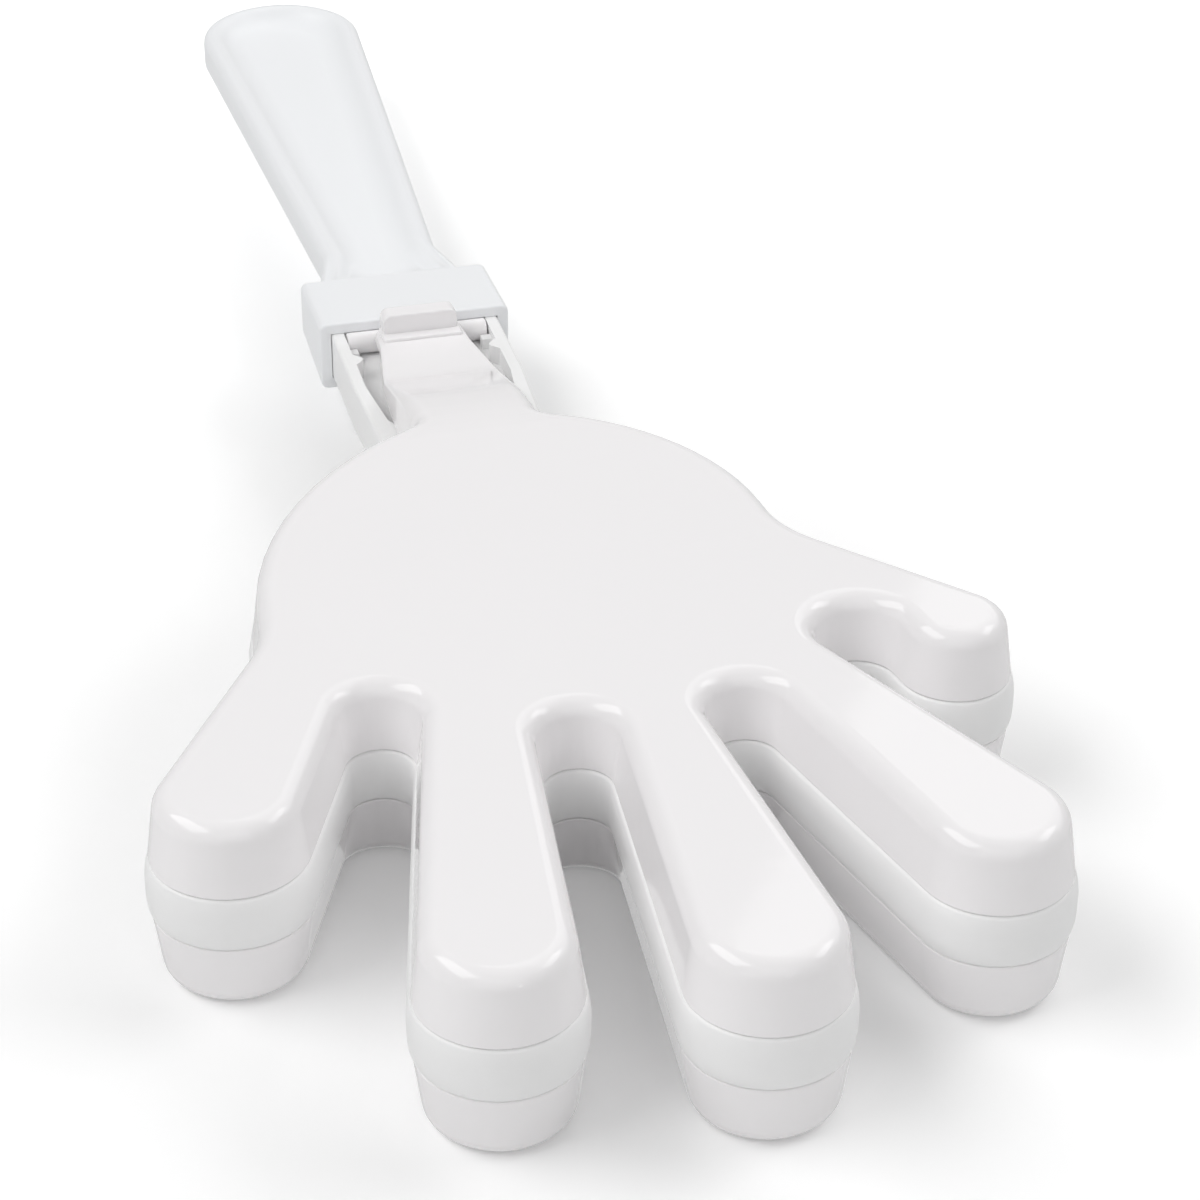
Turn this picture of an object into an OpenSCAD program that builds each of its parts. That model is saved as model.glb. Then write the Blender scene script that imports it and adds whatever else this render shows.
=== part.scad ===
// Hand clapper: two hollow outer hands hinged on a centre hand that plugs into a grip.
// Millimetres. X across the palm (thumb at +X), Y from the fingertips to the grip, Z up.
// Origin: centre of the palm, on the flat face of the lower hand that rests on the table.

/* [Hand outline] */
// Distance from the axis to the widest point of the palm on the thumb's side
palm_thumb_x = 30.3; // [28:0.1:33]
// Distance from the axis to the widest point of the palm on the little finger's side
palm_little_x = 36.2; // [33:0.1:38]
// How far ahead of the palm's centre the widest point on the thumb's side lies
palm_thumb_ahead = 5.3; // [3:0.1:8]
// How far ahead of the palm's centre the widest point on the little finger's side lies
palm_little_ahead = 16.2; // [13:0.2:18]
// Radius of the heel of the palm on the thumb's side
heel_thumb_r = 35.4; // [33:0.2:38]
// Radius of the heel of the palm on the little finger's side
heel_little_r = 49.5; // [46:0.5:54]
// Width of the ring and middle fingertips
finger_w = 18.2; // [16:0.1:19]
// Width of the index fingertip
index_w = 17.6; // [16:0.1:19]
// Width of the little finger
little_w = 18; // [15:0.2:19]
// Width of the thumb
thumb_w = 13.6; // [12:0.2:15]
// Distance from the palm's centre to the centre of the little fingertip
little_reach = 65.8; // [60:0.2:74]
// Distance from the palm's centre to the centre of the ring fingertip
ring_reach = 82.8; // [76:0.2:92]
// Distance from the palm's centre to the centre of the middle fingertip
middle_reach = 85; // [76:0.2:94]
// Distance from the palm's centre to the centre of the index fingertip
index_reach = 79.6; // [72:0.2:88]
// Distance from the palm's centre to the centre of the thumb's tip
thumb_reach = 54.8; // [52:0.2:60]
// Bearing of the little finger from straight ahead, in degrees
little_bearing = -42.6; // [-45:0.2:-40]
// Bearing of the ring finger
ring_bearing = -15.3; // [-17:0.1:-13]
// Bearing of the middle finger
middle_bearing = 3.7; // [2:0.1:6]
// Bearing of the index finger
index_bearing = 26; // [24:0.1:28]
// Bearing of the thumb
thumb_bearing = 52.6; // [51:0.2:56]
// Distance from the palm's centre to the web between little and ring finger
little_web_reach = 45.2; // [43:0.2:48]
// Bearing of that web from straight ahead
little_web_bearing = -34.6; // [-36:0.2:-33]
// Distance from the palm's centre to the web between ring and middle finger
ring_web_reach = 46.6; // [43:0.2:50]
// Bearing of that web
ring_web_bearing = -6.2; // [-7:0.2:-5]
// Distance from the palm's centre to the web between middle and index finger
middle_web_reach = 47.6; // [44:0.2:50]
// Bearing of that web
middle_web_bearing = 18; // [17:0.2:19]
// Radius of the webs between the fingers
web_r = 4; // [3:0.1:4.4]
// Radius of the web between the thumb and the index finger
thumb_web_r = 4.6; // [3.6:0.1:5]
// Radius of the hollow where the thumb leaves the palm
thumb_root_r = 14.4; // [11:0.2:16]
// Radius of the hollow where the little finger leaves the palm
little_root_r = 19.4; // [14:0.2:26]

/* [Outer hands] */
// Height of an outer hand
shell_t = 8.4; // [7:0.1:11]
// Wall of an outer hand
shell_wall = 1.8; // [1.4:0.1:2.4]
// Slope of the sides, as the inset where the edge rounding starts
side_draft = 0.8; // [0.4:0.1:2]
// Radius of the rounded outer edge
edge_r = 2.2; // [1.5:0.1:3]
// Width of the wrist where it leaves the palm
wrist_w = 17.6; // [16:0.2:19]
// Width of the wrist at its knee, where the slope down from the palm ends
knee_w = 16; // [14:0.2:17]
// Width of the wrist at the hinge
wrist_end_w = 11.2; // [10.6:0.2:13]
// Radius of the corner between palm and wrist
wrist_root_r = 2.6; // [1.6:0.1:4]
// Length of the level wrist before its slope
crease_l = 1.2; // [0.8:0.1:3]
// Distance from the collar to the knee of the wrist
knee_dist = 17.5; // [16:0.5:20]
// Height of the knee above the centre hand
knee_h = 1.4; // [1:0.1:2]
// Depth of the ledge in front of the stop tab
ledge_d = 2.4; // [1.5:0.1:3]
// Height of the ledge above the centre hand
ledge_h = 1; // [0.6:0.1:1.4]
// Gap between an outer hand and the centre hand when they are shut
seat_gap = 0.1; // [0.05:0.01:0.2]

/* [Centre hand] */
// Thickness of the centre hand
centre_t = 6.6; // [6.4:0.1:7.4]
// Thickness of its web
web_t = 1.4; // [1.2:0.1:1.6]
// Width of its rim
rim_w = 2; // [1.7:0.1:2.4]
// How far the sides of the centre hand bulge
barrel = 0.6; // [0.3:0.1:0.8]
// Distance from the palm's centre to the front of the collar
neck_reach = 68.5; // [66:0.5:76]
// Width of the neck
neck_w = 23.4; // [22.8:0.2:25]
// Width of the neck where it leaves the palm
neck_root_w = 21; // [20:0.2:22.6]
// Length of the straight part of the neck in front of the collar
neck_straight = 16; // [14:0.5:18]
// Thickness of the two rails of the neck
rail_t = 1.7; // [1.5:0.1:2.1]
// Gap between the wrist and the trough in the neck
trough_gap = 0.6; // [0.4:0.1:1]
// Distance from the collar to the points of the two horns on the rails
horn_dist = 7.9; // [7:0.1:9]
// Length of a horn along the rail
horn_l = 3; // [2:0.1:3.6]
// How far a horn stands out of its rail
horn_out = 1.5; // [1:0.1:1.8]

/* [Hinge] */
// Diameter of the hinge bar
bar_d = 3; // [2.8:0.05:3.1]
// Distance from the bar's axis to the front of the collar
bar_setback = 1.1; // [1:0.05:1.3]
// Running clearance round the bar
bar_clear = 0.05; // [0.03:0.01:0.08]
// Clearance at each end of the bar
bar_end_clear = 0.2; // [0.1:0.05:0.3]
// Width of the stop tab
tab_w = 9.5; // [8:0.1:10.5]
// Thickness of the stop tab
tab_t = 2.8; // [2.4:0.1:3.2]
// Height of the stop tab above the collar
tab_rise = 2.3; // [1.8:0.1:3]
// Gap between the stop tab and the collar when the hand is shut
tab_gap = 1.5; // [1.4:0.05:1.7]
// Length of the nubs that keep the bar in its pocket
nub_l = 1.6; // [1:0.1:2.2]
// How far the nubs stand out of the rails
nub_out = 1.4; // [1:0.1:1.8]

/* [Grip] */
// Wall of the collar
collar_wall = 1.6; // [1.4:0.1:2.2]
// Length of the collar
collar_l = 16; // [14:0.5:20]
// Height of the collar where it meets the grip
collar_back_h = 8; // [7.2:0.1:9]
// Radius of the collar's long corners
collar_r = 1.5; // [0.8:0.1:2]
// Length of the neck's plug inside the collar
plug_l = 14; // [11:0.5:15]
// Clearance between plug and collar on each side
plug_clear = 0.05; // [0.02:0.01:0.1]
// Distance from the front of the collar to the end of the grip
grip_reach = 121.5; // [105:0.5:140]
// Radius of the round end of the grip
grip_end_r = 12; // [10:0.2:14]
// Width of the grip at its waist
waist_w = 16.6; // [14:0.2:18]
// Distance from the collar's front to the waist
waist_dist = 26.5; // [24:0.5:32]
// Width of the grip where it flares into the collar
flare_w = 21.8; // [20:0.2:23]
// Radius of the waist
waist_r = 7; // [4:0.5:12]
// Thickness of the grip
grip_t = 6.4; // [5.6:0.1:7]
// Width of the grip's rim
grip_rim = 2.4; // [2:0.1:3]
// Thickness of the grip's web
grip_web = 2; // [1.6:0.1:2.6]
// Radius of the rounded edges of the rim
grip_edge_r = 1.1; // [0.6:0.1:1.2]
// Width of the cove between rim and web
cove = 1.8; // [1:0.1:2.4]

/* [Hidden] */
plastic = "white";
cut = 1;
turn_step = 12;
touch = 0.05;

// Heights
total_t = 2 * (shell_t + seat_gap) + centre_t;
mid_z = total_t / 2;
rim_z = centre_t / 2 + seat_gap;
top_z = rim_z + shell_t;
ledge_z = centre_t / 2 + ledge_h;
bar_z = web_t / 2 + bar_clear + bar_d / 2;
tongue_z = web_t / 2 + 3 * seat_gap;

// Places along the hand, from the palm's centre
collar_y = neck_reach;
bar_y = collar_y - bar_setback;
tab_back_y = collar_y - tab_gap;
tab_front_y = tab_back_y - tab_t;
ledge_front_y = tab_front_y - ledge_d;
knee_y = collar_y - knee_dist;
plug_end_y = collar_y + plug_l;

// Collar sizes follow the plug
collar_in_w = neck_w + 2 * plug_clear;
collar_in_h = centre_t + 2 * plug_clear;
collar_w = collar_in_w + 2 * collar_wall;
collar_h = collar_in_h + 2 * collar_wall;
rail_x = neck_w / 2 - rail_t;
bar_l = 2 * (rail_x - bar_end_clear);

// A belt of tangent arcs and lines, run with the inside on its left.
// Each wheel is [x, y, radius]: positive bulges out, negative bends in, zero is a plain corner.
function heading(a, b) =
    atan2(b.y - a.y, b.x - a.x) - asin((b.z - a.z) / norm([b.x - a.x, b.y - a.y]));
function turn(from, to, r) =
    r < 0 ? -((from - to + 725) % 360 - 5) : (to - from + 725) % 360 - 5;
function left(h) = [-sin(h), cos(h)];
function wheel_points(w, from, to) =
    let (swing = turn(from, to, w.z))
    let (steps = w.z == 0 ? 0 : max(1, ceil(abs(swing) / turn_step)))
    let (mitre = w.z == 0 ? 1 / cos(swing / 2) : 1)
    [for (i = [0 : steps])
        let (n = left(from + swing * (steps == 0 ? 0.5 : i / steps)))
        [[w.x, w.y] - w.z * n, mitre * n]];
function arcs(wheels) =
    let (n = len(wheels))
    let (h = [for (i = [0 : n - 1]) heading(wheels[i], wheels[(i + 1) % n])])
    [for (i = [0 : n - 1]) wheel_points(wheels[i], h[(i + n - 1) % n], h[i])];
function belt(wheels) = [for (a = arcs(wheels)) each a];
function inset(path, d) = [for (p = path) p[0] + d * p[1]];

// Wheels of the hand
function ahead(reach, bearing) = [reach * sin(bearing), -reach * cos(bearing)];
function tip(reach, bearing, w) =
    let (p = ahead(reach, bearing))
    [p.x, p.y, w / 2];
function web(reach, bearing) =
    let (p = ahead(reach, bearing))
    [p.x, p.y, -web_r];
palm_left = [heel_little_r - palm_little_x, -palm_little_ahead, heel_little_r];
palm_right = [palm_thumb_x - heel_thumb_r, -palm_thumb_ahead, heel_thumb_r];
function root(palm, side, r, bearing) =
    let (reach = palm.z + r + touch)
    [palm.x + side * reach * cos(bearing), palm.y + reach * sin(bearing), -r];
thumb_tip = tip(thumb_reach, thumb_bearing, thumb_w);
thumb_web_bearing = 179;
thumb_web_reach = thumb_w / 2 + thumb_web_r + 5 * touch;
thumb_web = [
    thumb_tip.x + thumb_web_reach * cos(thumb_web_bearing),
    thumb_tip.y + thumb_web_reach * sin(thumb_web_bearing),
    -thumb_web_r];
fingers = [
    palm_left,
    root(palm_left, -1, little_root_r, 3.5),
    tip(little_reach, little_bearing, little_w),
    web(little_web_reach, little_web_bearing),
    tip(ring_reach, ring_bearing, finger_w),
    web(ring_web_reach, ring_web_bearing),
    tip(middle_reach, middle_bearing, finger_w),
    web(middle_web_reach, middle_web_bearing),
    tip(index_reach, index_bearing, index_w),
    thumb_web,
    thumb_tip,
    root(palm_right, 1, thumb_root_r, 3.3),
    palm_right];

// Wrist, with plain corners at the crease, the knee and the ledge
function wrist_root(side, w) =
    let (palm = side > 0 ? palm_right : palm_left)
    let (x = side * (w / 2 + wrist_root_r))
    let (reach = palm.z + wrist_root_r)
    [x, palm.y + sqrt(pow(reach, 2) - pow(x - palm.x, 2)) + touch, -wrist_root_r];
root_y = max(wrist_root(-1, wrist_w).y, wrist_root(1, wrist_w).y);
crease_y = root_y + crease_l;
function between(y, y0, w0, y1, w1) = (w0 + (w1 - w0) * (y - y0) / (y1 - y0)) / 2;
function wrist_half(y) =
    y < knee_y
    ? between(y, crease_y, wrist_w, knee_y, knee_w)
    : between(y, knee_y, knee_w, tab_back_y, wrist_end_w);
wrist_corner_r = tab_t / 2;
wrist_end_y = tab_back_y - tab_t / 8;
function wrist_corner(side) =
    [side * (wrist_end_w / 2 - wrist_corner_r), wrist_end_y - wrist_corner_r, wrist_corner_r];
function wrist_side(side, y) = [side * wrist_half(y), y, 0];
hand_wheels = concat([wrist_root(-1, wrist_w)], fingers, [
    wrist_root(1, wrist_w),
    wrist_side(1, crease_y),
    wrist_side(1, knee_y),
    wrist_side(1, ledge_front_y),
    wrist_corner(1),
    wrist_corner(-1),
    wrist_side(-1, ledge_front_y),
    wrist_side(-1, knee_y),
    wrist_side(-1, crease_y)]);
hand_path = belt(hand_wheels);
centre_wheels = concat([wrist_root(-1, neck_root_w)], fingers, [
    wrist_root(1, neck_root_w),
    [neck_w / 2, collar_y - neck_straight, 0],
    [neck_w / 2, plug_end_y, 0],
    [-neck_w / 2, plug_end_y, 0],
    [-neck_w / 2, collar_y - neck_straight, 0]]);
centre_path = belt(centre_wheels);

// Joins rings of equal length into a solid, with a list of cap faces for each end
function walls(rings, n) =
    [for (k = [0 : rings - 2]) for (i = [0 : n - 1])
        let (a = k * n + i)
        let (b = k * n + (i + 1) % n)
        each [[a, b + n, b], [a, a + n, b + n]]];
function flip(face) = [for (i = [len(face) - 1 : -1 : 0]) face[i]];
module loft(rings, bottom_caps, top_caps) {
    n = len(rings[0]);
    last = (len(rings) - 1) * n;
    polyhedron(
        points = [for (r = rings) each r],
        faces = concat(
            bottom_caps,
            walls(len(rings), n),
            [for (c = top_caps) flip([for (i = c) last + i])]));
}
module plain_loft(path, profile) {
    cap = strip(0, len(path) - 1);
    rings = [for (s = profile) [for (p = inset(path, s[0])) [p.x, p.y, s[1]]]];
    loft(rings, cap, cap);
}

// Flat ends are laid in strips, from one side of the outline to the other
function strip(a, b) =
    [for (k = [0 : floor((b - a) / 2) - 1])
        b - a - 2 * k == 2
        ? [a + k, a + k + 1, b - k]
        : [a + k, a + k + 1, b - k - 1, b - k]];
function ladder(side_a, side_b) =
    let (n = min(len(side_a), len(side_b)))
    [for (k = [0 : n - 2]) [side_a[k], side_a[k + 1], side_b[k + 1], side_b[k]]];
function rest(list, from) = [for (i = [from : 1 : len(list) - 1]) list[i]];

// Flat end of a hand. Its wheels run: wrist root, heel, finger root, then tips and webs by turns,
// and thumb root, heel, wrist root. The first pair joins on to the wrist or the neck.
function hand_cap(wheels, first_a, first_b) =
    let (counts = [for (a = arcs(wheels)) len(a)])
    let (starts = [for (i = 0, s = 0; i < len(counts); s = s + counts[i], i = i + 1) s])
    let (mid = [for (i = [0 : len(counts) - 1]) starts[i] + floor(counts[i] / 2)])
    let (little = starts[2])
    let (thumb = starts[13] - 1)
    let (side_a = concat(first_a, [for (i = [0 : little]) i]))
    let (side_b = concat(first_b, [for (i = [starts[15] - 1 : -1 : thumb]) i]))
    let (n = min(len(side_a), len(side_b)))
    let (far_b = rest(side_b, n - 1))
    concat(
        ladder(side_a, side_b),
        [concat(rest(side_a, n - 1), [mid[4], mid[6], mid[8], mid[10]], flip(far_b))],
        strip(little, mid[4]),
        strip(mid[4], mid[6]),
        strip(mid[6], mid[8]),
        strip(mid[8], mid[10]),
        strip(mid[10], thumb));

// Outer hand, above the middle plane: inside from the roof to the rim, then outside to the top
edge_turns = [0, 30, 60, 90];
roof_z = top_z - shell_wall;
inside_profile = [
    [shell_wall + side_draft + edge_r / 2, roof_z],
    [shell_wall + side_draft, roof_z - edge_r / 2],
    [shell_wall, rim_z]];
outside_profile = concat(
    [[0, rim_z]],
    [for (a = edge_turns)
        [side_draft + edge_r * (1 - cos(a)), top_z - edge_r * (1 - sin(a))]]);
low_inset = 0.2;
wrist_inset = 0.3;
function side_inset(p) =
    p.y < root_y - 2 * wrist_root_r
    ? 1
    : wrist_inset + (1 - wrist_inset) * min(1, max(0, (abs(p.x) - wrist_w / 2) / wrist_root_r));
hollow_end_y = (crease_y + knee_y) / 2;
tongue_start_y = hollow_end_y + shell_wall;
slope = (shell_t - knee_h + seat_gap) / (knee_y - crease_y);
module shell_body() {
    n = len(hand_path);
    low = [for (i = [0 : n - 1]) if (hand_path[i][0].y > knee_y - cut) i];
    first = low[0];
    final = low[len(low) - 1];
    ledge = [for (i = [first + 1 : final - 1]) i];
    drop = slope * (hollow_end_y - crease_y);
    inside = [for (s = inside_profile)
        [for (i = [0 : n - 1])
            let (p = hand_path[i][0] + s[0] * hand_path[i][1])
            let (across = 1 - 2 * (i - first) / (final - first))
            i < first || i > final
            ? [p.x, p.y, s[1]]
            : [
                across * (wrist_half(hollow_end_y) - s[0]),
                hollow_end_y - s[0] + shell_wall * (1 - across * across),
                s[1] == rim_z ? rim_z : s[1] - drop]]];
    outside = [for (s = outside_profile)
        [for (i = [0 : n - 1])
            let (is_low = i >= first && i <= final)
            let (rise = i == first || i == final ? knee_h : ledge_h)
            let (squash = is_low ? (rise - seat_gap) / shell_t : 1)
            let (in = s[0] * (is_low ? low_inset : side_inset(hand_path[i][0])))
            let (p = hand_path[i][0] + in * hand_path[i][1])
            [p.x, p.y, rim_z + (s[1] - rim_z) * squash]]];
    top_cap = hand_cap(hand_wheels, [final + 1], [first - 1]);
    slope_cap = [first - 1, first, final, final + 1];
    shelf_cap = [first, first + 1, final - 1, final];
    roof_slope_cap = concat([first - 1], low, [final + 1]);
    loft(
        concat(inside, outside),
        concat(top_cap, [roof_slope_cap]),
        concat(top_cap, [slope_cap, shelf_cap, ledge]));
}
module wrist_tongue() {
    y0 = tongue_start_y;
    y1 = wrist_end_y - wrist_corner_r;
    margin = wrist_corner_r / 3;
    end_x = wrist_end_w / 2 - wrist_corner_r;
    translate([0, 0, tongue_z])
        linear_extrude(rim_z + ledge_h / 2 - tongue_z)
            polygon([
                [-wrist_half(y0) + margin, y0],
                [wrist_half(y0) - margin, y0],
                [wrist_half(knee_y) - margin, knee_y],
                [wrist_half(y1) - margin, y1],
                [end_x, bar_y],
                [-end_x, bar_y],
                [-wrist_half(y1) + margin, y1],
                [-wrist_half(knee_y) + margin, knee_y]]);
}
module hinge_bar() {
    translate([-bar_l / 2, bar_y, bar_z])
        rotate([0, 90, 0])
            cylinder(h = bar_l, d = bar_d, $fn = 48);
}
tab_corner_r = 1;
module stop_tab() {
    top = collar_h / 2 + tab_rise;
    translate([0, tab_back_y, 0])
        rotate([90, 0, 0])
            linear_extrude(tab_t) {
                translate([-tab_w / 2, bar_z])
                    square([tab_w, top - tab_corner_r - bar_z]);
                translate([-tab_w / 2 + tab_corner_r, bar_z])
                    square([tab_w - 2 * tab_corner_r, top - bar_z]);
                for (side = [-1, 1])
                    translate([side * (tab_w / 2 - tab_corner_r), top - tab_corner_r])
                        circle(tab_corner_r, $fn = 32);
            }
}
module outer_hand() {
    shell_body();
    wrist_tongue();
    hinge_bar();
    stop_tab();
}

// Centre hand, about the middle plane: a rim round a thin web, and a solid neck with two troughs
barrel_steps = [-1, -0.75, -0.35, 0.35, 0.75, 1];
centre_profile = concat(
    [[rim_w, -web_t / 2], [rim_w, -centre_t / 2]],
    [for (s = barrel_steps) [-barrel * (1 - s * s), s * centre_t / 2]],
    [[rim_w, centre_t / 2], [rim_w, web_t / 2]]);
module centre_body() {
    n = len(centre_path);
    neck = [for (i = [0 : n - 1]) if (centre_path[i][0].y > root_y + wrist_root_r) i];
    first = neck[0];
    final = neck[len(neck) - 1];
    whole = [for (i = [0 : n - 1]) i];
    rings = [for (s = centre_profile)
        [for (i = whole)
            let (in_neck = i >= first && i <= final)
            let (across = 1 - 2 * (i - first) / (final - first))
            let (p = centre_path[i][0] + (in_neck && s[0] < 0 ? 0 : s[0]) * centre_path[i][1])
            in_neck && s[0] > 0
            ? [across * (neck_root_w / 2 - 2 * rim_w), root_y + rim_w * (0.7 - across * across / 2), s[1]]
            : [p.x, p.y, s[1]]]];
    palm_cap = hand_cap(
        centre_wheels,
        [for (i = [ceil((first + final) / 2) : final]) i],
        [for (i = [floor((first + final) / 2) : -1 : first]) i]);
    loft(rings, palm_cap, palm_cap);
}
pocket_back_y = bar_y + bar_d / 2 + bar_clear;
pocket_front_y = bar_y - bar_d / 2 - bar_clear;
function both_sides(half) =
    concat(half, [for (i = [len(half) - 1 : -1 : 0]) [-half[i].x, half[i].y]]);
module trough() {
    horn_y = collar_y - horn_dist;
    narrow_y = tongue_start_y;
    end_y = narrow_y - 2 * rim_w;
    translate([0, 0, web_t / 2])
        linear_extrude(centre_t)
            polygon(both_sides([
                [wrist_half(narrow_y) + trough_gap - rim_w, end_y],
                [wrist_half(narrow_y) + trough_gap, narrow_y],
                [rail_x, collar_y - neck_straight],
                [rail_x, horn_y - horn_l / 2],
                [rail_x - horn_out, horn_y],
                [rail_x, horn_y + horn_l / 2],
                [rail_x, pocket_back_y]]));
}
module nubs() {
    for (side = [0, 1])
        mirror([side, 0, 0])
            translate([rail_x - nub_out, pocket_front_y - nub_l, 0])
                cube([nub_out + rail_t / 2, nub_l, bar_z]);
}

// Grip
grip_wheels = [
    [flare_w / 2, collar_y + (plug_l + collar_l) / 2, 0],
    [waist_w / 2 + waist_r, collar_y + waist_dist, -waist_r],
    [0, collar_y + grip_reach - grip_end_r, grip_end_r],
    [-waist_w / 2 - waist_r, collar_y + waist_dist, -waist_r],
    [-flare_w / 2, collar_y + (plug_l + collar_l) / 2, 0]];
grip_path = belt(grip_wheels);
edge_z = grip_t / 2 - grip_edge_r;
grip_profile = concat(
    [for (a = [90, 60, 30, 0]) [grip_edge_r * (1 - cos(a)), -edge_z - grip_edge_r * sin(a)]],
    [for (a = [0, 30, 60, 90]) [grip_edge_r * (1 - cos(a)), edge_z + grip_edge_r * sin(a)]]);
recess_d = (grip_t - grip_web) / 2;
recess_profile = concat(
    [for (a = [0, 30, 60, 90])
        [grip_rim + cove * (1 - sin(a)), grip_web / 2 + recess_d * (1 - cos(a))]],
    [[grip_rim, grip_t / 2 + cut]]);
module collar_body() {
    back_y = collar_y + collar_l;
    intersection() {
        rotate([90, 0, 90])
            translate([0, 0, -collar_w / 2])
                linear_extrude(collar_w)
                    polygon([
                        [collar_y, -collar_h / 2],
                        [back_y, -collar_back_h / 2],
                        [back_y, collar_back_h / 2],
                        [collar_y, collar_h / 2]]);
        translate([0, back_y, 0])
            rotate([90, 0, 0])
                linear_extrude(collar_l) {
                    square([collar_w - 2 * collar_r, collar_h], center = true);
                    square([collar_w, collar_h - 2 * collar_r], center = true);
                    for (x = [-1, 1], z = [-1, 1])
                        translate([x * (collar_w / 2 - collar_r), z * (collar_h / 2 - collar_r)])
                            circle(collar_r, $fn = 32);
                }
    }
}
module socket() {
    translate([-collar_in_w / 2, collar_y - cut, -collar_in_h / 2])
        cube([collar_in_w, plug_l + cut, collar_in_h]);
}

module handle() {
    color(plastic)
        translate([0, 0, mid_z])
            difference() {
                union() {
                    difference() {
                        plain_loft(grip_path, grip_profile);
                        for (side = [0, 1])
                            mirror([0, 0, side])
                                plain_loft(grip_path, recess_profile);
                    }
                    collar_body();
                }
                socket();
            }
}
module centre_hand() {
    color(plastic)
        translate([0, 0, mid_z])
            difference() {
                centre_body();
                for (side = [0, 1])
                    mirror([0, 0, side])
                        difference() {
                            trough();
                            nubs();
                        }
            }
}
module upper_hand() {
    color(plastic)
        translate([0, 0, mid_z])
            outer_hand();
}
module lower_hand() {
    color(plastic)
        translate([0, 0, mid_z])
            mirror([0, 0, 1])
                outer_hand();
}

handle();
centre_hand();
upper_hand();
lower_hand();
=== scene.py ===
import math

import bmesh
import bpy
from mathutils import Matrix, Vector


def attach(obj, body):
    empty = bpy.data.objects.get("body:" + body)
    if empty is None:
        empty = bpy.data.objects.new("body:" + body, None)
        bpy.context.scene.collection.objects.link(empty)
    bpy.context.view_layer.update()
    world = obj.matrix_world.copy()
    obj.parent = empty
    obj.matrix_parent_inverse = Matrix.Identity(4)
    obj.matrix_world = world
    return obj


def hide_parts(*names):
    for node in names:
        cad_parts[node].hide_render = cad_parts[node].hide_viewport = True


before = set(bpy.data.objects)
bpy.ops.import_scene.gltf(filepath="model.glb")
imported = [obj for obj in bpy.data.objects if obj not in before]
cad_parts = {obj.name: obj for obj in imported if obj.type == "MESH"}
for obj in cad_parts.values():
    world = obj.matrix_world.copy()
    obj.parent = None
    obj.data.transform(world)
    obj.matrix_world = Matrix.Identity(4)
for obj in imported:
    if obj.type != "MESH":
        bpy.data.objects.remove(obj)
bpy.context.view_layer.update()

print("frame loaded", sorted(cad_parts))

metre = 0.001  # meshes are drawn in mm and scaled once at the end
midHeight = 11.8  # the clapper's middle plane above the floor
touch = 0.01  # mm, places nearer than this count as the same
hair = 0.0001  # mm, an inset too small to see, for upright sides
crispAngle = 0.8  # radians, folds sharper than this get rounded

# hand outline in mm, counter-clockwise: x, y, radius of each tangent wheel, minus bends inward
handOutline = {
    "heelLittle": (13.3, -16.2, 49.5),
    "rootLittle": (-55.52, -11.99, -19.4),
    "tipLittle": (-44.54, -48.44, 9.0),
    "webLittle": (-25.67, -37.21, -4.0),
    "tipRing": (-21.85, -79.87, 9.1),
    "webRing": (-5.03, -46.33, -4.0),
    "tipMiddle": (5.49, -84.82, 9.1),
    "webMiddle": (14.71, -45.27, -4.0),
    "tipIndex": (34.89, -71.54, 8.8),
    "webThumb": (31.89, -33.08, -4.6),
    "tipThumb": (43.53, -33.28, 6.8),
    "rootThumb": (44.67, -2.43, -14.4),
    "heelThumb": (-5.1, -5.3, 35.4),
}


def heading(a, b):
    # direction in degrees of the straight run from one wheel to the next
    gap = math.hypot(b[0] - a[0], b[1] - a[1])
    return math.degrees(math.atan2(b[1] - a[1], b[0] - a[0]) - math.asin((b[2] - a[2]) / gap))


def arcSwing(start, stop, radius):
    # degrees that an arc turns; the slack keeps a nearly straight joint from going right round
    slack = 5
    if radius > 0:
        return (stop - start + (720 + slack)) % 360 - slack
    return -((start - stop + (720 + slack)) % 360 - slack)


def fillFace(bm, edges, facing):
    # one face in a ring of edges, facing up for 1 and down for -1
    face = bmesh.ops.contextual_create(bm, geom=edges)["faces"][0]
    face.normal_update()
    if face.normal.z * facing < 0:
        bmesh.ops.reverse_faces(bm, faces=[face])
    return face


def drawOutline(bm, wheels, z, stepDeg):
    # each arc is one vertex spun round its wheel; the arcs are then joined and filled
    headings = [heading(w, wheels[(i + 1) % len(wheels)]) for i, w in enumerate(wheels)]
    chain = []
    for i, (x, y, r) in enumerate(wheels):
        if r == 0:
            chain.append(bm.verts.new((x, y, z)))
            continue
        swing = arcSwing(headings[i - 1], headings[i], r)
        start = math.radians(headings[i - 1])
        first = bm.verts.new((x + r * math.sin(start), y - r * math.cos(start), z))
        known = set(bm.verts)
        steps = max(1, math.ceil(abs(swing) / stepDeg))
        bmesh.ops.spin(
            bm, geom=[first], cent=(x, y, z), axis=(0, 0, 1), angle=math.radians(swing), steps=steps)
        chain += [first] + [v for v in bm.verts if v not in known]
    for a, b in zip(chain, chain[1:] + chain[:1]):
        if not bm.edges.get((a, b)):
            bm.edges.new((a, b))
    return fillFace(bm, bm.edges[:], 1)


def roundEdges(bm, edges, radius, segments=3):
    bmesh.ops.bevel(
        bm, geom=edges, offset=radius, offset_type="OFFSET", segments=segments,
        profile=0.5, affect="EDGES", material=-1, clamp_overlap=False)


def raiseFaces(bm, faces, inward, height):
    bmesh.ops.inset_region(
        bm, faces=faces, thickness=inward, depth=height, use_even_offset=True, use_boundary=True)


def isLevel(face, z):
    # faces straight up or down, at a height
    return abs(face.normal.z) > 0.99 and abs(face.calc_center_median().z - z) < 2 * touch


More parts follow.
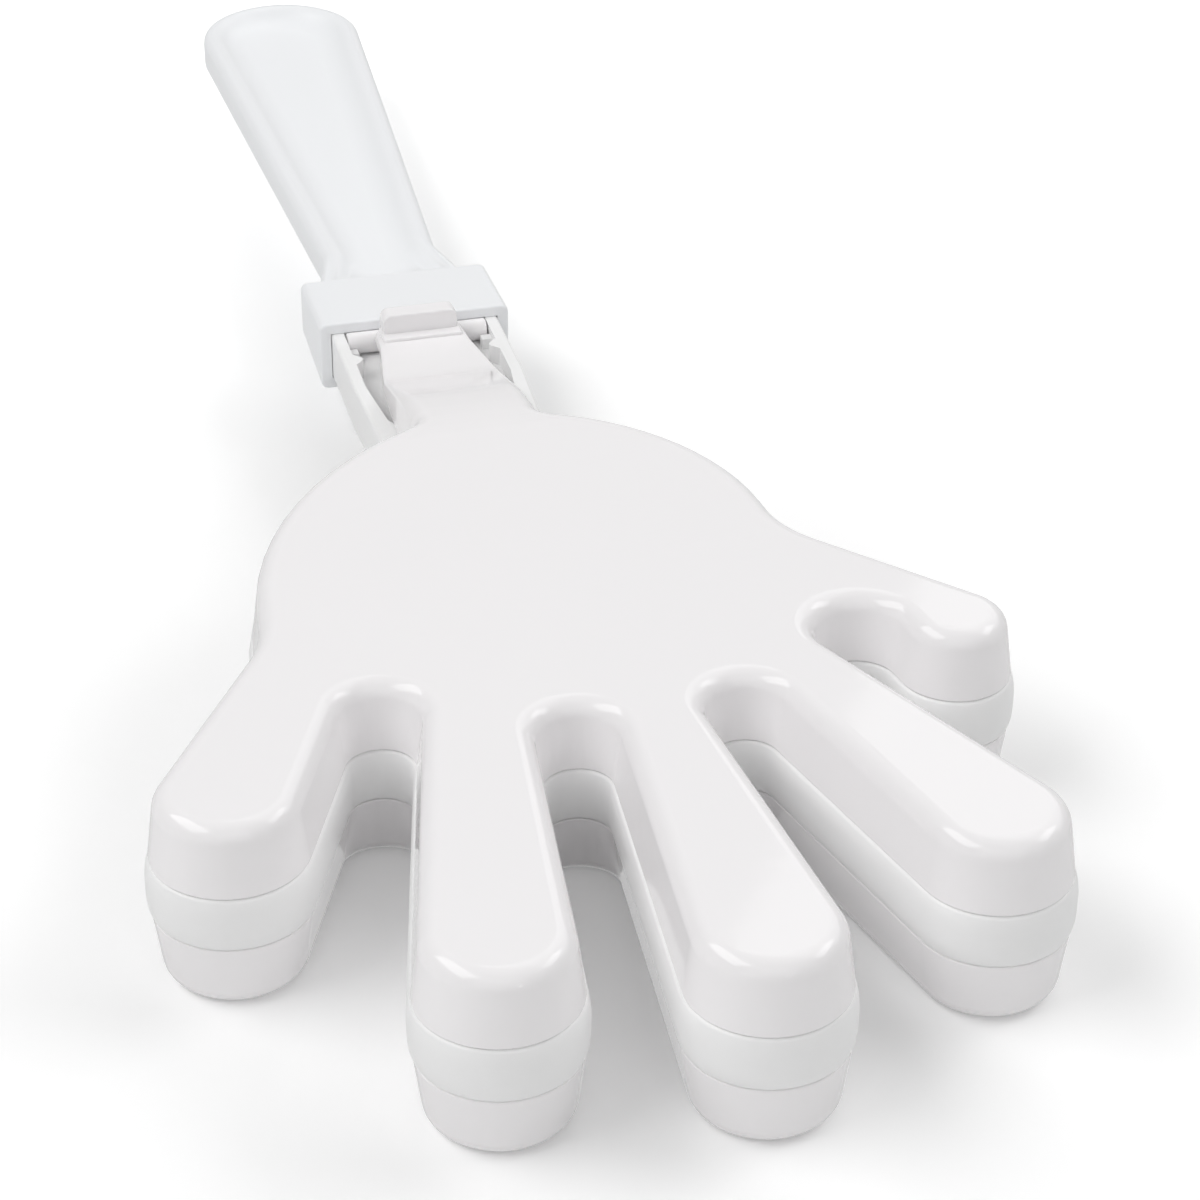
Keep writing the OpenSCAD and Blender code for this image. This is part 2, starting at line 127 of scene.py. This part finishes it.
def flatFace(bm, z, y=None):
    # the largest level face at a height, reaching across a given y if one is asked for
    bm.normal_update()
    found = [f for f in bm.faces if isLevel(f, z)]
    if y is not None:
        found = [f for f in found if min(v.co.y for v in f.verts) < y < max(v.co.y for v in f.verts)]
    return max(found, key=lambda f: f.calc_area())


def wholeOf(bm):
    return bm.verts[:] + bm.edges[:] + bm.faces[:]


def cutAcross(bm, places):
    for y in places:
        bmesh.ops.bisect_plane(
            bm, geom=wholeOf(bm), dist=0.0005, plane_co=(0, y, 0), plane_no=(0, 1, 0))


def mirrorDown(bm):
    # the lower half is the upper one mirrored about the middle plane
    bmesh.ops.mirror(bm, geom=wholeOf(bm), matrix=Matrix.Identity(4), merge_dist=0.001, axis="Z")
    bmesh.ops.recalc_face_normals(bm, faces=bm.faces[:])


def addBlock(bm, low, high):
    size = [h - l for l, h in zip(low, high)]
    centre = [(h + l) / 2 for l, h in zip(low, high)]
    place = Matrix.Translation(centre) @ Matrix.Diagonal(size + [1])
    return bmesh.ops.create_cube(bm, size=1, matrix=place)["verts"]


def edgesOf(verts):
    # edges between these vertices, each once
    inside = set(verts)
    return list(dict.fromkeys(e for v in verts for e in v.link_edges if e.other_vert(v) in inside))


def span(edge, axis):
    a, b = (v.co["xyz".index(axis)] for v in edge.verts)
    return abs(a - b)


def isUpright(edge):
    return span(edge, "z") > 1  # mm, taller than any rounding


def ramp(value, low, high):
    t = min(1, max(0, (value - low) / (high - low)))
    return t * t * (3 - 2 * t)


def alongLine(value, points):
    # height of a bent line at a value, level beyond its two ends
    for (a, va), (b, vb) in zip(points, points[1:]):
        if value <= b:
            return va + (vb - va) * min(1, max(0, (value - a) / (b - a)))
    return points[-1][1]


def makePiece(bm, name, node, body, material):
    sharpDeg = 38  # folds past this stay crisp in the shading
    bmesh.ops.translate(bm, verts=bm.verts, vec=(0, 0, midHeight))
    bmesh.ops.scale(bm, verts=bm.verts, vec=(metre, metre, metre))
    bm.normal_update()
    for f in bm.faces:
        f.smooth = True
    for e in bm.edges:
        e.smooth = len(e.link_faces) == 2 and e.calc_face_angle(0) < math.radians(sharpDeg)
    mesh = bpy.data.meshes.new(name)
    bm.to_mesh(mesh)
    bm.free()
    piece = bpy.data.objects.new(name, mesh)
    bpy.context.scene.collection.objects.link(piece)
    mesh.materials.append(material)
    even = piece.modifiers.new("evenShading", "WEIGHTED_NORMAL")
    even.keep_sharp = True
    even.weight = 80
    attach(piece, body)
    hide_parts(node)
    print("made", name, len(mesh.polygons), "faces")


def mathNode(tree, operation, *inputs):
    # each input is a number or another node's output
    node = tree.nodes.new("ShaderNodeMath")
    node.operation = operation
    for socket, given in zip(node.inputs, inputs):
        if isinstance(given, (int, float)):
            socket.default_value = given
        else:
            tree.links.new(given, socket)
    return node.outputs["Value"]


# surface effect that the plastics share: slow tint, fine orange peel and rare dark specks
surfaceGrain = {
    "cloudDetail": 4.0, "cloudRoughness": 0.55, "peelDetail": 2.0, "peelRoughness": 0.5,
    "speckScale": 85.0, "speckOuter": 0.035, "speckInner": 0.02, "speckRarity": 0.9,
}


def mouldedSurfaceGroup():
    group = bpy.data.node_groups.new("mouldedSurface", "ShaderNodeTree")
    sockets = group.interface
    sockets.new_socket("Place", in_out="INPUT", socket_type="NodeSocketVector")
    for label in ("Cloud Scale", "Peel Scale"):
        sockets.new_socket(label, in_out="INPUT", socket_type="NodeSocketFloat")
    for label in ("Cloud", "Peel", "Specks"):
        sockets.new_socket(label, in_out="OUTPUT", socket_type="NodeSocketFloat")
    nodes, links = group.nodes, group.links
    given = nodes.new("NodeGroupInput")
    result = nodes.new("NodeGroupOutput")

    for label, key in (("Cloud", "cloud"), ("Peel", "peel")):
        noise = nodes.new("ShaderNodeTexNoise")
        noise.inputs["Detail"].default_value = surfaceGrain[key + "Detail"]
        noise.inputs["Roughness"].default_value = surfaceGrain[key + "Roughness"]
        links.new(given.outputs["Place"], noise.inputs["Vector"])
        links.new(given.outputs[label + " Scale"], noise.inputs["Scale"])
        links.new(noise.outputs["Fac"], result.inputs[label])

    # a small dot in the middle of a few cells
    cells = nodes.new("ShaderNodeTexVoronoi")
    cells.inputs["Scale"].default_value = surfaceGrain["speckScale"]
    dot = nodes.new("ShaderNodeMapRange")
    dot.inputs["From Min"].default_value = surfaceGrain["speckOuter"]
    dot.inputs["From Max"].default_value = surfaceGrain["speckInner"]
    pick = nodes.new("ShaderNodeSeparateColor")
    links.new(given.outputs["Place"], cells.inputs["Vector"])
    links.new(cells.outputs["Distance"], dot.inputs["Value"])
    links.new(cells.outputs["Color"], pick.inputs["Color"])
    rare = mathNode(group, "GREATER_THAN", pick.outputs["Red"], surfaceGrain["speckRarity"])
    links.new(mathNode(group, "MULTIPLY", dot.outputs["Result"], rare), result.inputs["Specks"])
    return group


mouldedSurface = mouldedSurfaceGroup()
plasticIor = 1.5
peelDepth = 0.0002  # metres


def glossPlastic(name, look):
    material = bpy.data.materials.new(name)
    material.use_nodes = True
    tree = material.node_tree
    nodes, links = tree.nodes, tree.links
    shader = nodes["Principled BSDF"]
    shader.inputs["IOR"].default_value = plasticIor
    shader.inputs["Specular IOR Level"].default_value = look["specular"]
    place = nodes.new("ShaderNodeTexCoord")
    surface = nodes.new("ShaderNodeGroup")
    surface.node_tree = mouldedSurface
    surface.inputs["Cloud Scale"].default_value = look["cloudScale"]
    surface.inputs["Peel Scale"].default_value = look["peelScale"]
    links.new(place.outputs["Object"], surface.inputs["Place"])
    cloud, peel, specks = (surface.outputs[label] for label in ("Cloud", "Peel", "Specks"))

    # the tint drifts with the clouds, is mottled by the peel and carries the specks
    tint = nodes.new("ShaderNodeMix")
    tint.data_type = "RGBA"
    tint.inputs["A"].default_value = look["light"] + (1.0,)
    tint.inputs["B"].default_value = look["deep"] + (1.0,)
    links.new(mathNode(tree, "MULTIPLY_ADD", peel, look["mottle"], cloud), tint.inputs["Factor"])
    fleck = nodes.new("ShaderNodeMix")
    fleck.data_type = "RGBA"
    fleck.inputs["B"].default_value = look["speck"] + (1.0,)
    links.new(mathNode(tree, "MULTIPLY", specks, look["speckAmount"]), fleck.inputs["Factor"])
    links.new(tint.outputs["Result"], fleck.inputs["A"])
    links.new(fleck.outputs["Result"], shader.inputs["Base Color"])

    gloss = nodes.new("ShaderNodeMapRange")
    gloss.inputs["To Min"].default_value = look["gloss"][0]
    gloss.inputs["To Max"].default_value = look["gloss"][1]
    links.new(cloud, gloss.inputs["Value"])
    links.new(gloss.outputs["Result"], shader.inputs["Roughness"])

    bump = nodes.new("ShaderNodeBump")
    bump.inputs["Strength"].default_value = look["bump"]
    bump.inputs["Distance"].default_value = peelDepth
    links.new(peel, bump.inputs["Height"])
    links.new(bump.outputs["Normal"], shader.inputs["Normal"])
    return material


gripLook = {
    "light": (0.942, 0.952, 0.966), "deep": (0.920, 0.933, 0.950), "speck": (0.30, 0.29, 0.28),
    "speckAmount": 0.5, "specular": 0.45, "gloss": (0.30, 0.42), "bump": 0.10,
    "mottle": 0.1, "cloudScale": 26.0, "peelScale": 700.0,
}
centreLook = {
    "light": (0.940, 0.940, 0.940), "deep": (0.915, 0.915, 0.913), "speck": (0.32, 0.30, 0.28),
    "speckAmount": 0.4, "specular": 0.45, "gloss": (0.285, 0.36), "bump": 0.10,
    "mottle": 0.5, "cloudScale": 30.0, "peelScale": 760.0,
}
outerLook = {
    "light": (0.952, 0.937, 0.944), "deep": (0.932, 0.916, 0.923), "speck": (0.32, 0.29, 0.28),
    "speckAmount": 0.4, "specular": 0.38, "gloss": (0.03, 0.07), "bump": 0.03,
    "mottle": 0.1, "cloudScale": 24.0, "peelScale": 500.0,
}
gripPlastic = glossPlastic("gripPlastic", gripLook)
centrePlastic = glossPlastic("centrePlastic", centreLook)
outerPlastic = glossPlastic("outerPlastic", outerLook)
print("plastics mixed")


def wristRoot(side, half, radius):
    # inward wheel between the heel of the hand and the wrist
    clear = 0.05  # mm off the heel's wheel, so that a short straight run is left between them
    x, y, r = handOutline["heelThumb"] if side > 0 else handOutline["heelLittle"]
    rootX = side * (half + radius)
    return (rootX, y + math.sqrt((r + radius) ** 2 - (rootX - x) ** 2) + clear, -radius)


def handWithWrist(half, radius, corners):
    # the hand, closed by a wrist whose corners are the same on both sides
    right = [(x, y, 0) for x, y in corners]
    left = [(-x, y, 0) for x, y in reversed(corners)]
    roots = [wristRoot(side, half, radius) for side in (1, -1)]
    return list(handOutline.values()) + [roots[0]] + right + left + [roots[1]]


# outer hand in mm, drawn as the upper one above the middle plane
outerHand = {
    "rim": 3.4, "height": 8.4, "wall": 1.8, "slopeIn": 1.08, "stepDeg": 5.0,
    "edgeRadius": 2.1, "edgeSegments": 7, "rimEdge": 0.25, "hollowDraft": 0.9, "hollowRound": 1.0,
    "wristRootRadius": 2.6, "wristHalf": 8.8, "kneeHalf": 8.0, "endHalf": 5.6,
    "crease": 30.9, "knee": 51.0, "ledge": 61.8, "wristEnd": 66.65,
    "kneeHeight": 1.3, "ledgeHeight": 0.9, "lowSideShare": 0.2,
    "creaseEase": 9.0, "kneeEase": 1.6, "easeSteps": 6, "slopeStart": 21.5,
    "slopeCuts": range(22, 46), "kneeCuts": (47.5, 49, 50, 51, 52, 53, 54.5, 57, 60.5, 61.8, 63.2),
    "tongueLow": 1.0, "tongueStart": 42.75, "tongueIn": 0.9, "tongueUp": 0.5,
    "tongueEndShare": 0.55, "tongueRound": 0.4,
    "barAxisY": 67.4, "barAxisZ": 2.25, "barRadius": 1.5, "barLength": 19.6, "barRound": 0.3,
    "stepHalf": 5.5, "stepFront": 62.5, "stepTop": 4.75, "stepIntoTab": 0.5, "stepRound": 0.25,
    "tabHalf": 5.2, "tabFront": 64.2, "tabBack": 67.0, "tabTop": 7.5, "tabCorner": 1.2, "tabRound": 0.3,
}


def wristHalfAt(y, size):
    return alongLine(y, [
        (size["crease"], size["wristHalf"]), (size["knee"], size["kneeHalf"]),
        (size["wristEnd"], size["endHalf"])])


def wristHeightAt(y, size):
    # slope from the palm down to the knee and the ledge, with both bends eased
    points = [
        (size["crease"], size["height"]), (size["knee"], size["kneeHeight"]),
        (size["ledge"], size["ledgeHeight"])]
    bend = ramp(y, size["crease"], size["knee"])
    ease = size["creaseEase"] + (size["kneeEase"] - size["creaseEase"]) * bend
    steps = size["easeSteps"]
    samples = [alongLine(y + ease * d / steps, points) for d in range(-steps, steps + 1)]
    return sum(samples) / len(samples)


def drawOuterShell(bm, size):
    corners = [
        (size["wristHalf"], size["crease"]), (size["kneeHalf"], size["knee"]),
        (wristHalfAt(size["ledge"], size), size["ledge"]), (size["endHalf"], size["wristEnd"])]
    wheels = handWithWrist(size["wristHalf"], size["wristRootRadius"], corners)
    face = drawOutline(bm, wheels, size["rim"], size["stepDeg"])
    raiseFaces(bm, [face], size["slopeIn"], size["height"])
    top = flatFace(bm, size["rim"] + size["height"])
    roundEdges(bm, top.edges[:], size["edgeRadius"], size["edgeSegments"])

    # hollow underside: flat rim, then the inside of the shell
    under = fillFace(bm, [e for e in bm.edges if e.is_boundary], -1)
    roundEdges(bm, under.edges[:], size["rimEdge"])
    under = flatFace(bm, size["rim"])
    raiseFaces(bm, [under], size["wall"] - size["rimEdge"], 0)
    raiseFaces(bm, [under], size["hollowDraft"], -(size["height"] - size["wall"]))
    roundEdges(bm, under.edges[:], size["hollowRound"])


def slopeWrist(bm, size):
    # cut across, then lowered, its sides drawn in less as it gets thinner
    cutAcross(bm, [*size["slopeCuts"], *size["kneeCuts"]])
    for v in bm.verts:
        x, y, z = v.co
        if y <= size["slopeStart"]:
            continue
        lowered = wristHeightAt(y, size)
        share = max(size["lowSideShare"], lowered / size["height"])
        half = wristHalfAt(y, size)
        raised = min(1, max(0, (z - size["rim"]) / size["height"]))
        if abs(x) < half and raised > 0:
            v.co.x = math.copysign(half - (half - abs(x)) * share, x)
        if y > size["ledge"] and raised > 0:
            v.co.y = size["wristEnd"] - (size["wristEnd"] - y) * share
        v.co.z = size["rim"] + raised * lowered


def addTongue(bm, size):
    # lies in the neck's trough and narrows under the stop tab
    half = size["wristHalf"] - size["tongueIn"]
    tongue = addBlock(
        bm, (-half, size["tongueStart"], size["tongueLow"]),
        (half, size["barAxisY"], size["rim"] + size["tongueUp"]))
    for v in tongue:
        if v.co.y > size["tabFront"]:
            v.co.x *= size["tongueEndShare"]
    roundEdges(bm, edgesOf(tongue), size["tongueRound"])


def addHingeBar(bm, size):
    place = Matrix.Translation((0, size["barAxisY"], size["barAxisZ"]))
    bar = bmesh.ops.create_cone(
        bm, cap_ends=True, segments=40, radius1=size["barRadius"], radius2=size["barRadius"],
        depth=size["barLength"], matrix=place @ Matrix.Rotation(math.radians(90), 4, "Y"))["verts"]
    roundEdges(bm, [e for e in edgesOf(bar) if span(e, "x") < touch], size["barRound"])


def addStopTab(bm, size):
    # low step first, then the tab behind it
    step = addBlock(
        bm, (-size["stepHalf"], size["stepFront"], size["rim"]),
        (size["stepHalf"], size["tabBack"] - size["stepIntoTab"], size["stepTop"]))
    roundEdges(bm, edgesOf(step), size["stepRound"])
    tab = addBlock(
        bm, (-size["tabHalf"], size["tabFront"], size["barAxisZ"]),
        (size["tabHalf"], size["tabBack"], size["tabTop"]))
    topEdges = [e for e in edgesOf(tab) if all(v.co.z > size["tabTop"] - touch for v in e.verts)]
    known = set(bm.verts)
    roundEdges(bm, [e for e in topEdges if span(e, "x") < touch], size["tabCorner"], segments=5)
    tab = [v for v in tab if v.is_valid] + [v for v in bm.verts if v not in known]
    crisp = [e for e in edgesOf(tab) if e.calc_face_angle(0) > crispAngle]
    roundEdges(bm, crisp, size["tabRound"])


def buildOuterHand(name, node, body, flipped):
    bm = bmesh.new()
    for stage in (drawOuterShell, slopeWrist, addTongue, addHingeBar, addStopTab):
        stage(bm, outerHand)
    if flipped:
        bmesh.ops.scale(bm, verts=bm.verts, vec=(1, 1, -1))
        bmesh.ops.reverse_faces(bm, faces=bm.faces[:])
    makePiece(bm, name, node, body, outerPlastic)


buildOuterHand("upperHand", "upper_hand", "upper", False)
buildOuterHand("lowerHand", "lower_hand", "lower", True)

# centre hand in mm, its upper half drawn and then mirrored
centreHand = {
    "half": 3.36, "webHalf": 0.7, "webDraft": 0.15, "rim": 2.0, "edge": 0.35, "stepDeg": 6.0,
    "barrel": 0.48, "barrelPower": 3.5, "barrelCuts": 7, "barrelFade": (28, 34), "handEnd": 31.5,
    "rootHalf": 10.5, "rootRadius": 2.6, "neckHalf": 11.7, "straightFrom": 52.5, "neckEnd": 82.5,
    "rail": 1.7, "troughStart": 38.75, "troughStartHalf": 6.94, "troughBend": 42.75, "troughBendHalf": 8.94,
    "troughEnd": 68.95, "troughDraft": 0.05,
    "troughSide": (5, 9.9),  # the trough's side lines lie between these, before they are moved
    "hornY": 60.6, "hornLength": 3.0, "hornOut": 1.5, "hornRound": 0.8, "hornReach": 0.2,
    "nubFront": 64.25, "nubBack": 65.85, "nubOut": 1.4, "nubTop": 2.25,
    "nubIntoRail": 0.5, "nubIntoFloor": 0.2, "nubRound": 0.25,
}


def drawCentreLeaf(bm, size):
    corners = [(size["neckHalf"], size["straightFrom"]), (size["neckHalf"], size["neckEnd"])]
    wheels = handWithWrist(size["rootHalf"], size["rootRadius"], corners)
    face = drawOutline(bm, wheels, 0, size["stepDeg"])
    raiseFaces(bm, [face], hair, size["half"])
    upright = [e for e in bm.edges if isUpright(e)]
    bmesh.ops.subdivide_edges(bm, edges=upright, cuts=size["barrelCuts"], use_grid_fill=True)

    # bulging side of the hand, fading out towards the neck
    bm.normal_update()
    for v in bm.verts:
        if v.co.z < size["half"] - touch:
            bulge = size["barrel"] * (1 - (v.co.z / size["half"]) ** size["barrelPower"])
            out = Vector((v.normal.x, v.normal.y, 0)).normalized()
            v.co += out * (bulge * (1 - ramp(v.co.y, *size["barrelFade"])))
    top = flatFace(bm, size["half"])
    roundEdges(bm, top.edges[:], size["edge"], segments=5)

    # sunk web of the hand
    cutAcross(bm, [size["handEnd"]])
    palm = flatFace(bm, size["half"], y=0)
    raiseFaces(bm, [palm], size["rim"] - size["edge"], 0)
    raiseFaces(bm, [palm], size["webDraft"], -(size["half"] - size["webHalf"]))


def nearHorn(v, x, size):
    return abs(v.co.y - size["hornY"]) < size["hornReach"] and abs(abs(v.co.x) - x) < size["hornReach"]


def sinkTrough(bm, size):
    # trough in the neck between two rails, with a horn on each rail
    back = flatFace(bm, size["half"], y=size["hornY"])
    raiseFaces(bm, [back], size["rail"] - size["edge"], 0)
    hornHalf = size["hornLength"] / 2
    cutAcross(bm, [
        size["troughStart"], size["troughBend"], size["hornY"] - hornHalf, size["hornY"],
        size["hornY"] + hornHalf, size["troughEnd"]])
    sideFrom, sideTo = size["troughSide"]
    for place in ("troughStart", "troughBend"):
        for v in bm.verts:
            onCut = abs(v.co.y - size[place]) < touch and abs(v.co.z - size["half"]) < touch
            if onCut and sideFrom < abs(v.co.x) < sideTo:
                v.co.x = math.copysign(size[place + "Half"], v.co.x)

    wallAt = size["neckHalf"] - size["rail"]
    floorFaces = []
    for f in bm.faces:
        xs, ys = [abs(v.co.x) for v in f.verts], [v.co.y for v in f.verts]
        inLength = size["troughStart"] - touch < min(ys) and max(ys) < size["troughEnd"] + touch
        if isLevel(f, size["half"]) and max(xs) < wallAt + touch and inLength:
            floorFaces.append(f)
    raiseFaces(bm, floorFaces, size["troughDraft"], -(size["half"] - size["webHalf"]))

    for v in bm.verts:
        if nearHorn(v, wallAt, size):
            v.co.x -= math.copysign(size["hornOut"], v.co.x)
    tipAt = wallAt - size["hornOut"]
    tips = [e for e in bm.edges if isUpright(e) and all(nearHorn(v, tipAt, size) for v in e.verts)]
    roundEdges(bm, tips, size["hornRound"], segments=5)


def addNubs(bm, size):
    # hold the hinge bar from the front
    wallAt = size["neckHalf"] - size["rail"]
    for side in (-1, 1):
        xs = sorted((side * (wallAt - size["nubOut"]), side * (wallAt + size["nubIntoRail"])))
        nub = addBlock(
            bm, (xs[0], size["nubFront"], size["webHalf"] - size["nubIntoFloor"]),
            (xs[1], size["nubBack"], size["nubTop"]))
        roundEdges(bm, edgesOf(nub), size["nubRound"], segments=2)


def buildCentreHand():
    bm = bmesh.new()
    for stage in (drawCentreLeaf, sinkTrough, addNubs):
        stage(bm, centreHand)
    mirrorDown(bm)
    makePiece(bm, "centreHand", "centre_hand", "grip", centrePlastic)


buildCentreHand()

# grip and its collar in mm
gripHandle = {
    "half": 3.2, "webHalf": 1.0, "rim": 2.4, "edge": 1.6, "lip": 1.0, "stepDeg": 5.0,
    "cove": 2.4, "coveRadius": 2.2, "flareHalf": 10.9, "flareY": 83.5,
    "waistHalf": 8.3, "waistY": 95.0, "waistRadius": 7.0, "endY": 177.3, "endRadius": 12.7,
    "collarFront": 68.5, "collarBack": 84.5, "collarHalfWidth": 13.35,
    "collarHalfFront": 4.95, "collarHalfBack": 4.0, "collarWall": 1.6, "collarRound": 1.0,
    "socketDepth": 14.0, "mouthRound": 0.2, "frontRound": 0.35,
}


def drawGripBlade(bm, size):
    waistX = size["waistHalf"] + size["waistRadius"]
    wheels = [
        (size["flareHalf"], size["flareY"], 0), (waistX, size["waistY"], -size["waistRadius"]),
        (0, size["endY"], size["endRadius"]), (-waistX, size["waistY"], -size["waistRadius"]),
        (-size["flareHalf"], size["flareY"], 0)]
    face = drawOutline(bm, wheels, 0, size["stepDeg"])
    raiseFaces(bm, [face], hair, size["half"])
    top = flatFace(bm, size["half"])
    roundEdges(bm, top.edges[:], size["edge"], segments=5)

    # sunk web with a cove inside the rim
    web = flatFace(bm, size["half"])
    raiseFaces(bm, [web], size["rim"] - size["edge"], 0)
    lip = web.edges[:]
    raiseFaces(bm, [web], size["cove"], -(size["half"] - size["webHalf"]))
    roundEdges(bm, web.edges[:], size["coveRadius"], segments=5)
    roundEdges(bm, [e for e in lip if e.is_valid], size["lip"], segments=4)


def addCollar(bm, size):
    # a tapering box with the socket sunk into its front
    w, h = size["collarHalfWidth"], size["collarHalfFront"]
    box = addBlock(bm, (-w, size["collarFront"], -h), (w, size["collarBack"], h))
    atBack = [v for v in box if v.co.y > size["collarBack"] - touch]
    for v in atBack:
        v.co.z *= size["collarHalfBack"] / h
    bm.normal_update()
    front = min((f for v in box for f in v.link_faces), key=lambda f: f.normal.y)
    longEdges = [e for e in edgesOf(box) if span(e, "y") > touch]
    raiseFaces(bm, [front], size["collarWall"], 0)
    mouth = front.edges[:]
    raiseFaces(bm, [front], hair, -size["socketDepth"])
    roundEdges(bm, longEdges + edgesOf(atBack), size["collarRound"], segments=6)
    roundEdges(bm, [e for e in mouth if e.is_valid], size["mouthRound"], segments=2)

    # outer edge of the front, without the socket's mouth
    cornerFrom = w - size["collarRound"] - touch
    frontEdges = []
    for e in bm.edges:
        atFront = all(abs(v.co.y - size["collarFront"]) < touch for v in e.verts)
        atSide = max(abs(v.co.x) for v in e.verts) > cornerFrom
        atTop = all(abs(abs(v.co.z) - h) < touch for v in e.verts)
        if atFront and (atSide or atTop) and e.calc_face_angle(0) > crispAngle:
            frontEdges.append(e)
    roundEdges(bm, frontEdges, size["frontRound"])


def buildGripHandle():
    bm = bmesh.new()
    drawGripBlade(bm, gripHandle)
    mirrorDown(bm)
    addCollar(bm, gripHandle)
    makePiece(bm, "gripHandle", "handle", "grip", gripPlastic)


buildGripHandle()

# floor, light and camera, in metres, watts and degrees; each lamp has a place, a size and its watts
studio = {
    "floor": (0.90, 0.90, 0.90), "floorHalf": 6.0, "floorGlow": 0.15, "floorGlowFar": 1.0,
    "glowShift": (0.0, 0.2, 0.0), "glowScale": (10.0, 7.0, 0.0), "glowFade": (0.6, 3.4),
    "world": 0.19, "roomGlow": 0.45,
    "lampAim": (0.0, 0.0, 0.01),
    "lamps": {
        "leftSoftbox": ((-1.10, 0.10, 1.45), (1.70, 0.90), 17.4),
        "rightSoftbox": ((1.10, 0.00, 1.05), (0.90, 0.45), 4.0),
        "rightRearSoftbox": ((1.10, 0.80, 1.40), (2.00, 1.80), 12.0),
        "frontSoftbox": ((-0.24, -1.44, 0.96), (2.10, 1.50), 6.4),
        "pinLampLeft": ((-0.67, -0.74, 0.25), (0.06, 0.06), 0.15),
        "pinLampRight": ((0.24, -0.97, 0.25), (0.06, 0.06), 0.15),
    },
    "elevation": 31.7918, "azimuth": -14.3029, "roll": 0.1328,
    "eye": (-0.08199, -0.35761, 0.23887), "lens": 105.0, "sensor": 36.0,
}


def paleFloorMaterial():
    material = bpy.data.materials.new("paleFloor")
    material.use_nodes = True
    tree = material.node_tree
    nodes, links = tree.nodes, tree.links
    nodes.clear()
    path = nodes.new("ShaderNodeLightPath")
    matte = nodes.new("ShaderNodeBsdfDiffuse")
    matte.inputs["Color"].default_value = studio["floor"] + (1.0,)

    # to the camera the floor brightens away from the clapper
    place = nodes.new("ShaderNodeTexCoord")
    spread = nodes.new("ShaderNodeMapping")
    spread.inputs["Location"].default_value = studio["glowShift"]
    spread.inputs["Scale"].default_value = studio["glowScale"]
    away = nodes.new("ShaderNodeVectorMath")
    away.operation = "LENGTH"
    fade = nodes.new("ShaderNodeMapRange")
    fade.inputs["From Min"].default_value = studio["glowFade"][0]
    fade.inputs["From Max"].default_value = studio["glowFade"][1]
    fade.inputs["To Min"].default_value = studio["floorGlow"]
    fade.inputs["To Max"].default_value = studio["floorGlowFar"]
    links.new(place.outputs["Object"], spread.inputs["Vector"])
    links.new(spread.outputs["Vector"], away.inputs[0])
    links.new(away.outputs["Value"], fade.inputs["Value"])
    glow = nodes.new("ShaderNodeEmission")
    lift = mathNode(tree, "MULTIPLY", path.outputs["Is Camera Ray"], fade.outputs["Result"])
    links.new(lift, glow.inputs["Strength"])
    both = nodes.new("ShaderNodeAddShader")
    links.new(matte.outputs["BSDF"], both.inputs[0])
    links.new(glow.outputs["Emission"], both.inputs[1])

    # in reflections the floor is as bright as the room, so no horizon shows
    mirrored = nodes.new("ShaderNodeEmission")
    mirrored.inputs["Strength"].default_value = studio["world"] + studio["roomGlow"]
    shown = nodes.new("ShaderNodeMixShader")
    out = nodes.new("ShaderNodeOutputMaterial")
    links.new(path.outputs["Is Glossy Ray"], shown.inputs["Fac"])
    links.new(both.outputs["Shader"], shown.inputs[1])
    links.new(mirrored.outputs["Emission"], shown.inputs[2])
    links.new(shown.outputs["Shader"], out.inputs["Surface"])
    return material


def layFloor(scene):
    bm = bmesh.new()
    bmesh.ops.create_grid(bm, x_segments=1, y_segments=1, size=studio["floorHalf"])
    mesh = bpy.data.meshes.new("floor")
    bm.to_mesh(mesh)
    bm.free()
    mesh.materials.append(paleFloorMaterial())
    floor = bpy.data.objects.new("floor", mesh)
    scene.collection.objects.link(floor)


def lightRoom(scene):
    # the room is dim as a light, brighter in reflections and white to the camera
    world = bpy.data.worlds.new("studioWorld")
    scene.world = world
    world.use_nodes = True
    tree = world.node_tree
    sky = tree.nodes["Background"]
    sky.inputs["Color"].default_value = (1.0, 1.0, 1.0, 1.0)
    path = tree.nodes.new("ShaderNodeLightPath")
    strength = mathNode(
        tree, "MULTIPLY_ADD", path.outputs["Is Glossy Ray"], studio["roomGlow"], studio["world"])
    shown = mathNode(tree, "MAXIMUM", strength, path.outputs["Is Camera Ray"])
    tree.links.new(shown, sky.inputs["Strength"])


def hangLamps(scene):
    for name, (spot, area, watts) in studio["lamps"].items():
        lamp = bpy.data.lights.new(name, "AREA")
        lamp.shape = "RECTANGLE"
        lamp.size, lamp.size_y = area
        lamp.energy = watts
        holder = bpy.data.objects.new(name, lamp)
        scene.collection.objects.link(holder)
        holder.location = spot
        aim = Vector(studio["lampAim"]) - Vector(spot)
        holder.rotation_euler = aim.to_track_quat("-Z", "Y").to_euler()


def placeCamera(scene):
    lens = bpy.data.cameras.new("photoCamera")
    lens.lens = studio["lens"]
    lens.sensor_width = studio["sensor"]
    lens.sensor_fit = "HORIZONTAL"
    lens.clip_start = 0.01
    camera = bpy.data.objects.new("photoCamera", lens)
    scene.collection.objects.link(camera)
    tilt, swing, roll = (math.radians(studio[k]) for k in ("elevation", "azimuth", "roll"))
    camera.matrix_world = (
        Matrix.Translation(studio["eye"]) @ Matrix.Rotation(swing, 4, "Z")
        @ Matrix.Rotation(math.pi / 2 - tilt, 4, "X") @ Matrix.Rotation(roll, 4, "Z"))
    scene.camera = camera


def buildStudio():
    scene = bpy.context.scene
    scene.view_settings.view_transform = "Standard"
    layFloor(scene)
    lightRoom(scene)
    hangLamps(scene)
    placeCamera(scene)


buildStudio()
print("studio set")
